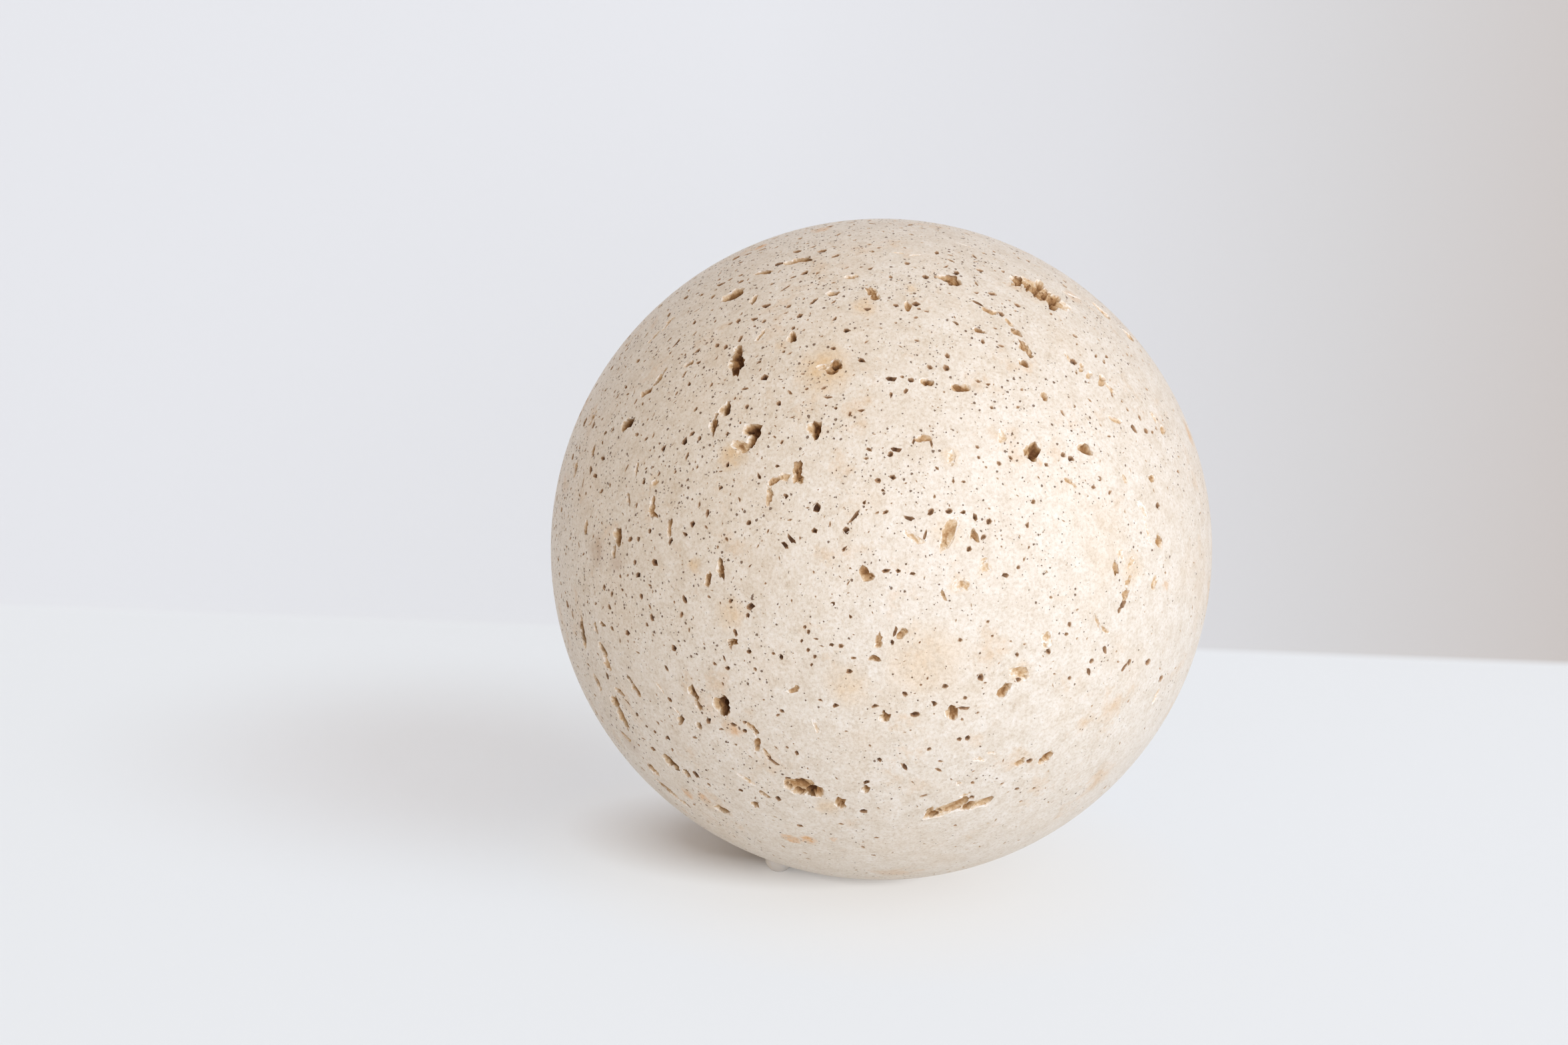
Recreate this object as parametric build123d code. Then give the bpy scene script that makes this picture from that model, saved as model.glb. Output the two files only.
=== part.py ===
"""Travertine sphere: a honed ball of open-pored stone, standing on three small clear dome feet.

Millimetres, +Z up. The origin is on the floor, straight under the middle of the ball.
The front of the ball faces -Y.
"""

import os
from math import asin, atan, atan2, cos, hypot, pi, sin, tan

from build123d import *
from build123d.topology import SkipClean

# The stone ball and its stand-off
ball_diameter = 150.0
floor_clearance = 0.4

# The clear feet: soft domes stuck under the ball, each pressed flat where it stands
foot_diameter = 6.4
foot_flattening = 0.35
foot_ring_diameter = 42.0
foot_bearings = {"foot_left": -155.0, "foot_right": 1.0, "foot_rear": 98.0}

# The front view that the pits' places are read from: its height, its roll and how far away it is taken
front_view_rise = 15.5
front_view_roll = 3.5
front_view_distance_share = 14.0

# How far a pit's cutter starts above the stone
cut_overrun = 0.5

# A pit's depth is a share of its width, and its floor is a share of its mouth
deep_depth_share = 0.85
hollow_depth_share = 0.6
shallow_depth_share = 0.35
floor_share = 0.42

# The back repeats the front's pits from this length up, and stone is left whole round each foot
back_least_length_share = 0.044
foot_margin_share = 0.5

# Corners of a pit's broken edge, as shares of its half length and half width, taken in turn
ragged_edge_shares = (1.05, 0.9, 1.1, 0.96, 0.86, 1.08)
ragged_floor_shares = (1.1, 0.8, 1.2)

# Pits: across and up in the front view, length and width on the stone, all as shares of the ball's
# radius, and the lean of the length from level in degrees
deep_pit_shares = (
    (-0.432, 0.560, 0.076, 0.036, 84), (-0.265, 0.637, 0.034, 0.022, 100),
    (-0.765, 0.384, 0.042, 0.034, 20), (-0.672, 0.515, 0.046, 0.018, 55),
    (-0.466, 0.424, 0.040, 0.028, 75), (-0.506, 0.375, 0.052, 0.020, 80),
    (-0.381, 0.364, 0.042, 0.034, 10), (-0.384, 0.334, 0.052, 0.022, 70),
    (-0.195, 0.368, 0.042, 0.028, 95), (-0.795, 0.045, 0.040, 0.030, 100),
    (-0.740, 0.240, 0.036, 0.012, 85), (-0.764, 0.150, 0.036, 0.012, 100),
    (0.416, 0.812, 0.062, 0.028, 62), (0.446, 0.799, 0.066, 0.024, 60),
    (0.472, 0.785, 0.078, 0.026, 58), (0.497, 0.769, 0.074, 0.026, 56),
    (0.524, 0.753, 0.072, 0.030, 55), (0.436, 0.610, 0.048, 0.021, -60),
    (0.235, 0.488, 0.040, 0.022, -10), (0.465, 0.296, 0.042, 0.038, 70),
    (0.618, 0.303, 0.034, 0.032, -45), (0.843, 0.020, 0.034, 0.024, 95),
    (-0.483, -0.060, 0.048, 0.020, 95), (-0.474, -0.478, 0.052, 0.042, 85),
    (-0.016, -0.330, 0.034, 0.016, -15), (-0.568, -0.432, 0.034, 0.024, -70),
    (-0.551, -0.474, 0.036, 0.018, -55), (-0.803, -0.466, 0.036, 0.032, 0),
    (-0.780, -0.515, 0.062, 0.034, -65), (-0.845, -0.300, 0.036, 0.026, -55),
    (-0.863, -0.242, 0.034, 0.016, -70), (-0.808, -0.010, 0.034, 0.016, 80),
    (-0.638, -0.645, 0.055, 0.034, -45), (-0.585, -0.681, 0.034, 0.022, -55),
    (-0.248, -0.734, 0.034, 0.022, 0), (-0.210, -0.735, 0.038, 0.030, 60),
    (-0.478, -0.790, 0.034, 0.032, 20), (0.219, -0.497, 0.040, 0.026, 95),
    (0.162, -0.803, 0.034, 0.024, 20), (0.265, -0.778, 0.034, 0.026, 40),
    (0.711, -0.058, 0.044, 0.018, -80), (0.746, -0.100, 0.036, 0.014, 65),
    (0.653, -0.215, 0.046, 0.010, -70),
)
hollow_pit_shares = (
    (-0.364, 0.648, 0.038, 0.015, 50), (-0.028, 0.777, 0.046, 0.028, -48),
    (-0.092, 0.824, 0.034, 0.020, 5), (-0.243, 0.876, 0.075, 0.032, 12),
    (-0.360, 0.838, 0.045, 0.022, 10), (-0.455, 0.765, 0.062, 0.046, 25),
    (-0.138, 0.557, 0.044, 0.034, 40), (-0.708, 0.478, 0.034, 0.021, 30),
    (-0.648, 0.680, 0.052, 0.016, 55), (-0.252, 0.238, 0.052, 0.030, 75),
    (-0.338, 0.155, 0.050, 0.016, 85), (-0.692, 0.125, 0.050, 0.022, 85),
    (-0.640, 0.068, 0.052, 0.016, 88), (-0.925, 0.240, 0.036, 0.030, 80),
    (-0.872, 0.300, 0.036, 0.020, 80), (-0.895, 0.060, 0.042, 0.024, 85),
    (0.325, 0.722, 0.036, 0.022, -25), (0.205, 0.818, 0.052, 0.044, -10),
    (0.132, 0.336, 0.034, 0.021, 0), (0.705, 0.391, 0.042, 0.021, -25),
    (0.570, 0.205, 0.038, 0.018, -30), (0.822, 0.403, 0.036, 0.017, -60),
    (0.667, 0.505, 0.036, 0.027, 60), (0.693, 0.486, 0.034, 0.019, -50),
    (0.568, 0.576, 0.036, 0.012, -60), (-0.522, -0.086, 0.036, 0.022, 75),
    (-0.047, -0.073, 0.038, 0.029, -60), (-0.008, -0.275, 0.036, 0.020, 70),
    (-0.855, -0.412, 0.046, 0.026, -70), (-0.905, -0.245, 0.066, 0.036, -85),
    (-0.738, -0.432, 0.040, 0.022, -60), (-0.775, -0.565, 0.042, 0.025, -40),
    (-0.638, -0.735, 0.086, 0.030, -40), (-0.385, -0.546, 0.046, 0.018, -50),
    (-0.374, -0.585, 0.042, 0.020, -88), (-0.346, -0.620, 0.034, 0.015, -60),
    (-0.125, -0.765, 0.042, 0.030, 80), (0.367, -0.434, 0.042, 0.030, 55),
    (0.500, -0.630, 0.038, 0.034, 45), (0.826, -0.100, 0.042, 0.024, 70),
    (0.832, -0.440, 0.036, 0.016, 65),
)
shallow_pit_shares = (
    (-0.172, 0.552, 0.038, 0.024, 5), (-0.425, 0.312, 0.056, 0.034, -40),
    (-0.290, 0.220, 0.034, 0.028, 0), (0.474, 0.783, 0.150, 0.086, -31),
    (0.555, 0.737, 0.046, 0.030, -30), (0.672, 0.716, 0.056, 0.052, -48),
    (0.752, 0.642, 0.042, 0.050, -52), (0.212, 0.278, 0.040, 0.026, 70),
    (0.205, 0.048, 0.090, 0.046, 65), (0.098, 0.036, 0.062, 0.022, -42),
    (0.365, 0.337, 0.036, 0.030, 60), (0.788, 0.125, 0.052, 0.022, -60),
    (0.803, 0.062, 0.078, 0.015, -75), (-0.830, -0.345, 0.044, 0.034, -80),
    (-0.695, -0.665, 0.046, 0.040, -45), (-0.242, -0.714, 0.092, 0.062, -15),
    (-0.410, -0.695, 0.066, 0.018, -35), (-0.198, -0.535, 0.050, 0.014, -75),
    (0.503, -0.270, 0.048, 0.035, 85), (0.418, -0.372, 0.060, 0.044, -20),
    (0.240, -0.108, 0.044, 0.034, 10), (0.316, -0.055, 0.036, 0.030, -60),
    (0.205, -0.785, 0.112, 0.050, 20), (0.295, -0.770, 0.078, 0.040, 15),
)

# Worked out from the sizes above
ball_radius = ball_diameter / 2
foot_radius = foot_diameter / 2
foot_ring_radius = foot_ring_diameter / 2
ball_centre = Vector(0, 0, ball_radius + floor_clearance)
front_view = Plane(ball_centre, (1, 0, 0), Vector(0, -1, 0).rotate(Axis.X, -front_view_rise))
front_view = front_view.rotated((0, 0, front_view_roll))


def foot_place(bearing):
    """Centre of a foot's dome, on a ring under the ball, standing on the floor by its flat."""
    around = Vector(foot_ring_radius, 0, 0).rotate(Axis.Z, bearing)
    return around + Vector(0, 0, foot_radius - foot_flattening)


def front_direction(across_share, up_share):
    """Direction from the ball's centre to the spot seen there in the front view."""
    out_share = hypot(across_share, up_share)
    edge_angle = asin(1 / front_view_distance_share)
    sight_angle = atan(out_share * tan(edge_angle))
    spot_angle = asin(front_view_distance_share * sin(sight_angle)) - sight_angle
    bearing = atan2(up_share, across_share)
    local = Vector(cos(bearing) * sin(spot_angle), sin(bearing) * sin(spot_angle), cos(spot_angle))
    return front_view.from_local_coords(local) - ball_centre


def pit_plane(across_share, up_share, lean):
    """Plane on the stone at a pit's mouth: X along the pit as it leans in the front view, Z outwards."""
    outward = front_direction(across_share, up_share)
    along = front_view.x_dir * cos(lean * pi / 180) + front_view.y_dir * sin(lean * pi / 180)
    along = along - front_view.z_dir * (along.dot(outward) / front_view.z_dir.dot(outward))
    return Plane(ball_centre + outward * ball_radius, along, outward)


def ragged_ring(plane, shares, first, half_length, half_width, height):
    """Corners of one uneven ring of a pit's cutter, at a height above the stone."""
    corners = []
    for number in range(len(shares)):
        turn = 2 * pi * number / len(shares)
        share = shares[(number + first) % len(shares)]
        corner = (half_length * share * cos(turn), half_width * share * sin(turn), height)
        corners.append(plane.from_local_coords(corner))
    return corners


def pit_cutter(number, shares, depth_share):
    """A chipped lump that opens one pit: a ragged mouth above the stone and a smaller broken floor."""
    across_share, up_share, length_share, width_share, lean = shares
    plane = pit_plane(across_share, up_share, lean)
    half_length = length_share * ball_radius / 2
    half_width = width_share * ball_radius / 2
    depth = depth_share * width_share * ball_radius
    flare = 1 + (1 - floor_share) * cut_overrun / depth
    mouth = ragged_ring(plane, ragged_edge_shares, number, half_length * flare, half_width * flare, cut_overrun)
    floor = ragged_ring(
        plane, ragged_floor_shares, number, half_length * floor_share, half_width * floor_share, -depth
    )
    return ConvexPolyhedron(mouth + floor)


def clears_feet(cutter):
    """Whether a pit leaves whole stone for every foot to stick to."""
    middle = cutter.center()
    reach = cutter.bounding_box().diagonal / 2 + foot_radius * (1 + foot_margin_share)
    return all((middle - foot_place(bearing)).length > reach for bearing in foot_bearings.values())


def pit_groups():
    """Cutters for the front's pits, grade by grade, and the longer ones again turned half round to the back."""
    grades = (
        (deep_pit_shares, deep_depth_share),
        (hollow_pit_shares, hollow_depth_share),
        (shallow_pit_shares, shallow_depth_share),
    )
    level_axis = Axis(ball_centre, (1, 0, 0))
    for pit_shares, depth_share in grades:
        front = []
        back = []
        for number, shares in enumerate(pit_shares):
            cutter = pit_cutter(number, shares, depth_share)
            front.append(cutter)
            if shares[2] >= back_least_length_share:
                back.append(cutter.rotate(level_axis, 180))
        yield [cutter for cutter in front if clears_feet(cutter)]
        yield [cutter for cutter in back if clears_feet(cutter)]


def turned_ball():
    """The plain ball as turned: a half disc of two arcs swept round the upright axis, a quarter at a time."""
    arcs = [CenterArc((0, 0), ball_radius, start, 90) for start in (-90, 0)]
    half_disc = Plane.XZ * make_face([*arcs, Line(arcs[1] @ 1, arcs[0] @ 0)])
    quarters = [Rot(0, 0, turn) * revolve(half_disc, Axis.Z, 90) for turn in (45, 135, 225, 315)]
    return Pos(ball_centre) * (Part() + quarters)


def stone_sphere():
    """The stone in one piece: the turned ball, with the pores that its surface lays open.

    The ball's eight like faces are kept apart, because one face all round it loses its edge in the file.
    """
    with SkipClean():
        stone = turned_ball()
        for cutters in pit_groups():
            stone -= cutters
    return stone


def foot(bearing):
    """One soft dome: round sides out from the stone, a round end, and a flat on the floor."""
    dome_centre = foot_place(bearing)
    axis_plane = Plane(ball_centre, z_dir=dome_centre - ball_centre)
    reach = (dome_centre - ball_centre).length
    barrel = axis_plane * Cylinder(foot_radius, reach, align=(Align.CENTER, Align.CENTER, Align.MIN))
    dome = barrel + Pos(dome_centre) * Sphere(foot_radius)
    dome -= Pos(ball_centre) * Sphere(ball_radius)
    return split(dome, Plane.XY, keep=Keep.TOP)


os.makedirs("parts", exist_ok=True)
export_step(stone_sphere(), "parts/stone_sphere.step")
for name, bearing in foot_bearings.items():
    export_step(foot(bearing), f"parts/{name}.step")
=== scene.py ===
"""Travertine sphere on three clear dome feet: the looks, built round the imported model.

Metres, +Z up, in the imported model's own frame. The side that the photograph shows faces -Y.
"""

import itertools
import math
import random

import bpy
from mathutils import Euler, Matrix, Vector, noise


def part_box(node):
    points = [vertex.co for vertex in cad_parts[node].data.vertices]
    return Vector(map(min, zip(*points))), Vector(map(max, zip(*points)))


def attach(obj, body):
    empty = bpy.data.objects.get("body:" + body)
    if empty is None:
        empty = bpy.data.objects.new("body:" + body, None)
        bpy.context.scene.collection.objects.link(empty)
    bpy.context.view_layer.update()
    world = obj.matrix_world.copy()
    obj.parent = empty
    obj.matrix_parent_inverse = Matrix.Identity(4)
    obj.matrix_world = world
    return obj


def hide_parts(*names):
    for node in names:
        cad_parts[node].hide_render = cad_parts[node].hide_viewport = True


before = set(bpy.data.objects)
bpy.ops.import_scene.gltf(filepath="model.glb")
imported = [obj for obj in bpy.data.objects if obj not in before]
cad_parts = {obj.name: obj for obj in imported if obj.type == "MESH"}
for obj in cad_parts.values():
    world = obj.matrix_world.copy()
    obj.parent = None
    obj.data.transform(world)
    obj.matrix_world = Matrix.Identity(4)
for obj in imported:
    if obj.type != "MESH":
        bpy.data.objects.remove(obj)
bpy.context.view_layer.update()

MM = 0.001

# The ball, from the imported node
stone_low, stone_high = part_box("stone_sphere")
ball_radius = (stone_high.z - stone_low.z) / 2
ball_centre = Vector((0, 0, (stone_high.z + stone_low.z) / 2))
foot_names = ("foot_left", "foot_right", "foot_rear")

# The photograph's view: how high, how far from the ball's middle, how much it rolls, and where the ball sits
image_width = 2353
image_height = 1568
ball_across_px = 1322
ball_down_px = 824
ball_radius_px = 496
view_rise = math.radians(15.5)
view_roll = math.radians(3.5)
view_distance_share = 14.0

# Pits read from the photograph: across and up in the view, length and width on the stone, all as
# shares of the ball's radius, and the lean of the length from level in degrees
deep_pit_shares = (
    (-0.432, 0.560, 0.076, 0.036, 84), (-0.430, 0.608, 0.024, 0.018, 80),
    (-0.265, 0.637, 0.034, 0.022, 100), (-0.140, 0.774, 0.024, 0.022, 0),
    (-0.386, 0.752, 0.030, 0.016, 60), (-0.765, 0.384, 0.042, 0.034, 20),
    (-0.672, 0.515, 0.046, 0.018, 55), (-0.583, 0.560, 0.030, 0.015, 30),
    (-0.466, 0.424, 0.040, 0.028, 75), (-0.506, 0.375, 0.052, 0.020, 80),
    (-0.381, 0.364, 0.042, 0.034, 10), (-0.384, 0.334, 0.052, 0.022, 70),
    (-0.195, 0.368, 0.042, 0.028, 95), (-0.795, 0.045, 0.040, 0.030, 100),
    (-0.740, 0.240, 0.036, 0.012, 85), (-0.764, 0.150, 0.036, 0.012, 100),
    (0.416, 0.812, 0.062, 0.028, 62), (0.446, 0.799, 0.066, 0.024, 60),
    (0.472, 0.785, 0.078, 0.026, 58), (0.497, 0.769, 0.074, 0.026, 56),
    (0.524, 0.753, 0.072, 0.030, 55), (0.412, 0.656, 0.030, 0.020, -45),
    (0.436, 0.610, 0.048, 0.021, -60), (0.436, 0.561, 0.028, 0.022, -30),
    (0.235, 0.488, 0.040, 0.022, -10), (0.142, 0.505, 0.024, 0.022, 0),
    (0.296, 0.662, 0.030, 0.018, -15), (0.495, 0.462, 0.022, 0.017, 95),
    (0.465, 0.296, 0.042, 0.038, 70), (0.284, 0.040, 0.032, 0.018, -60),
    (0.618, 0.303, 0.034, 0.032, -45), (0.821, 0.213, 0.027, 0.022, 10),
    (0.843, 0.020, 0.034, 0.024, 95), (0.853, 0.360, 0.027, 0.022, 80),
    (-0.483, -0.060, 0.048, 0.020, 95), (-0.474, -0.478, 0.052, 0.042, 85),
    (-0.446, -0.280, 0.028, 0.018, 15), (-0.016, -0.330, 0.034, 0.016, -15),
    (-0.568, -0.432, 0.034, 0.024, -70), (-0.551, -0.474, 0.036, 0.018, -55),
    (-0.803, -0.466, 0.036, 0.032, 0), (-0.780, -0.515, 0.062, 0.034, -65),
    (-0.845, -0.300, 0.036, 0.026, -55), (-0.846, -0.227, 0.028, 0.015, -20),
    (-0.863, -0.242, 0.034, 0.016, -70), (-0.760, -0.396, 0.026, 0.015, -55),
    (-0.808, -0.010, 0.034, 0.016, 80), (-0.605, -0.520, 0.032, 0.019, 70),
    (-0.549, -0.535, 0.027, 0.017, -60), (-0.638, -0.645, 0.055, 0.034, -45),
    (-0.585, -0.681, 0.034, 0.022, -55), (-0.588, -0.774, 0.028, 0.026, -40),
    (-0.248, -0.734, 0.034, 0.022, 0), (-0.210, -0.735, 0.038, 0.030, 60),
    (-0.278, -0.720, 0.022, 0.016, -50), (-0.478, -0.790, 0.034, 0.032, 20),
    (-0.042, -0.727, 0.027, 0.019, 80), (-0.352, -0.741, 0.032, 0.017, -35),
    (-0.378, -0.775, 0.030, 0.020, -60), (0.190, -0.139, 0.028, 0.011, -65),
    (0.219, -0.497, 0.040, 0.026, 95), (0.016, -0.508, 0.027, 0.022, 80),
    (0.162, -0.803, 0.034, 0.024, 20), (0.265, -0.778, 0.034, 0.026, 40),
    (0.711, -0.058, 0.044, 0.018, -80), (0.741, -0.135, 0.032, 0.020, 75),
    (0.746, -0.100, 0.036, 0.014, 65), (0.653, -0.215, 0.046, 0.010, -70),
    (0.676, -0.243, 0.032, 0.012, -45),
)
hollow_pit_shares = (
    (-0.364, 0.648, 0.038, 0.015, 50), (-0.028, 0.777, 0.046, 0.028, -48),
    (-0.092, 0.824, 0.034, 0.020, 5), (-0.243, 0.876, 0.075, 0.032, 12),
    (-0.360, 0.838, 0.045, 0.022, 10), (-0.455, 0.765, 0.062, 0.046, 25),
    (-0.138, 0.557, 0.044, 0.034, 40), (-0.708, 0.478, 0.034, 0.021, 30),
    (-0.648, 0.680, 0.052, 0.016, 55), (-0.685, 0.645, 0.032, 0.017, 50),
    (-0.252, 0.238, 0.052, 0.030, 75), (-0.322, 0.208, 0.030, 0.020, 30),
    (-0.338, 0.155, 0.050, 0.016, 85), (-0.692, 0.125, 0.050, 0.022, 85),
    (-0.640, 0.068, 0.052, 0.016, 88), (-0.872, 0.400, 0.032, 0.024, 60),
    (-0.925, 0.240, 0.036, 0.030, 80), (-0.872, 0.300, 0.036, 0.020, 80),
    (-0.895, 0.060, 0.042, 0.024, 85), (0.325, 0.722, 0.036, 0.022, -25),
    (0.387, 0.686, 0.028, 0.014, -50), (0.205, 0.818, 0.052, 0.044, -10),
    (0.082, 0.735, 0.032, 0.026, 80), (0.132, 0.336, 0.034, 0.021, 0),
    (0.705, 0.391, 0.042, 0.021, -25), (0.570, 0.205, 0.038, 0.018, -30),
    (0.736, 0.214, 0.030, 0.013, -50), (0.822, 0.403, 0.036, 0.017, -60),
    (0.606, 0.545, 0.028, 0.019, 60), (0.628, 0.526, 0.030, 0.017, 60),
    (0.667, 0.505, 0.036, 0.027, 60), (0.693, 0.486, 0.034, 0.019, -50),
    (0.568, 0.576, 0.036, 0.012, -60), (-0.522, -0.086, 0.036, 0.022, 75),
    (-0.047, -0.073, 0.038, 0.029, -60), (-0.008, -0.275, 0.036, 0.020, 70),
    (-0.855, -0.412, 0.046, 0.026, -70), (-0.905, -0.245, 0.066, 0.036, -85),
    (-0.738, -0.432, 0.040, 0.022, -60), (-0.790, -0.433, 0.032, 0.020, -40),
    (-0.775, -0.565, 0.042, 0.025, -40), (-0.638, -0.735, 0.086, 0.030, -40),
    (-0.385, -0.546, 0.046, 0.018, -50), (-0.374, -0.585, 0.042, 0.020, -88),
    (-0.346, -0.620, 0.034, 0.015, -60), (-0.125, -0.765, 0.042, 0.030, 80),
    (-0.265, -0.427, 0.032, 0.018, 20), (0.060, -0.257, 0.028, 0.022, 60),
    (0.367, -0.434, 0.042, 0.030, 55), (0.415, -0.648, 0.032, 0.022, 25),
    (0.500, -0.630, 0.038, 0.034, 45), (0.755, -0.043, 0.032, 0.018, 60),
    (0.826, -0.100, 0.042, 0.024, 70), (0.832, -0.440, 0.036, 0.016, 65),
)
shallow_pit_shares = (
    (-0.172, 0.552, 0.038, 0.024, 5), (-0.425, 0.312, 0.056, 0.034, -40),
    (-0.290, 0.220, 0.034, 0.028, 0), (0.474, 0.783, 0.150, 0.086, -31),
    (0.555, 0.737, 0.046, 0.030, -30), (0.672, 0.716, 0.056, 0.052, -48),
    (0.752, 0.642, 0.042, 0.050, -52), (0.212, 0.278, 0.040, 0.026, 70),
    (0.205, 0.048, 0.090, 0.046, 65), (0.098, 0.036, 0.062, 0.022, -42),
    (0.365, 0.337, 0.036, 0.030, 60), (0.788, 0.125, 0.052, 0.022, -60),
    (0.803, 0.062, 0.078, 0.015, -75), (-0.830, -0.345, 0.044, 0.034, -80),
    (-0.695, -0.665, 0.046, 0.040, -45), (-0.242, -0.714, 0.092, 0.062, -15),
    (-0.410, -0.695, 0.066, 0.018, -35), (-0.198, -0.535, 0.050, 0.014, -75),
    (0.503, -0.270, 0.048, 0.035, 85), (0.418, -0.372, 0.060, 0.044, -20),
    (0.240, -0.108, 0.044, 0.034, 10), (0.316, -0.055, 0.036, 0.030, -60),
    (0.205, -0.785, 0.112, 0.050, 20), (0.295, -0.770, 0.078, 0.040, 15),
    (0.722, -0.012, 0.032, 0.026, -80), (-0.686, 0.203, 0.024, 0.022, 0),
    (0.255, -0.745, 0.030, 0.024, 10), (0.335, -0.615, 0.030, 0.012, 0),
    (0.058, 0.896, 0.036, 0.010, -10), (0.100, 0.889, 0.036, 0.010, 5),
    (0.250, 0.921, 0.044, 0.008, -18), (0.580, 0.765, 0.062, 0.012, -18),
    (-0.620, -0.488, 0.030, 0.010, -50), (-0.670, -0.418, 0.032, 0.012, -50),
    (0.300, -0.635, 0.036, 0.018, -10), (0.235, -0.708, 0.022, 0.020, 90),
)
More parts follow.
